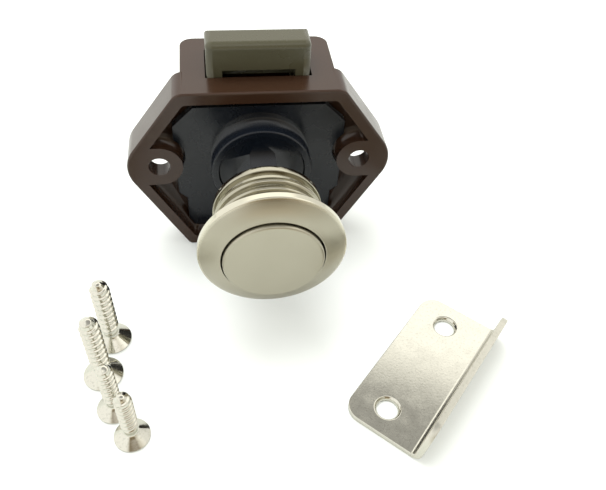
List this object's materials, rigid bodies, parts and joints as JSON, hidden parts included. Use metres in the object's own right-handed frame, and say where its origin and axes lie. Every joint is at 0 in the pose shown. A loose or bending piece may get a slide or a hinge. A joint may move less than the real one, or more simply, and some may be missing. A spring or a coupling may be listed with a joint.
{
  "type": "push button cabinet lock",
  "caption": "Push-to-lock cabinet lock: housing with a sprung bolt worked by a push button through a ribbed ring, with an angle strike plate and countersunk wood screws.",
  "frame": {"origin": "midway between the two screw holes of the flange, on the knob's axis, in the plane that meets the door", "axes": "+X along the two screw holes, +Y from the door into the cabinet, +Z towards the end of the bolt"},
  "size_m": [0.0802, 0.0738, 0.045],
  "materials": {
    "brown_plastic": "glossy",
    "black_plastic": "satin",
    "khaki_plastic": "satin",
    "satin_nickel": "satin",
    "bright_nickel": "polished",
    "spring_steel": "satin"
  },
  "bodies": {
    "lock_body": {"housing": "brown_plastic", "guide_plate": "black_plastic", "rosette": "satin_nickel", "bolt_spring_left": "spring_steel", "bolt_spring_right": "spring_steel", "plunger_spring": "spring_steel", "strike_plate": "bright_nickel", "long_screws": "bright_nickel", "short_screws": "bright_nickel"},
    "knob": {"plunger": "black_plastic", "knob_stud": "spring_steel", "knob_button": "satin_nickel"},
    "bolt": {"bolt": "khaki_plastic"},
    "cam_wire": {"cam_wire": "spring_steel"}
  },
  "joints": [
    {"name": "knob_slide", "type": "slide", "parent": "lock_body", "child": "knob", "axis": [0, -1, 0], "range_m": [-0.0006, 0.0075], "deforming": ["plunger_spring"]},
    {"name": "bolt_slide", "type": "slide", "parent": "lock_body", "child": "bolt", "axis": [0, 0, -1], "range_m": [-0.00052, 0.00641], "deforming": ["bolt_spring_left", "bolt_spring_right"]},
    {"name": "wire_swing", "type": "hinge", "parent": "lock_body", "child": "cam_wire", "pos_m": [0, 0.0162, -0.00755], "axis": [0, 0, 1], "range_deg": [-9.2, 0.8]}
  ],
  "couplings": [
    {"joint": "bolt_slide", "follows": "knob_slide", "ratio": 0.85333},
    {"joint": "wire_swing", "follows": "knob_slide", "rad_per_m": -21.254}
  ]
}
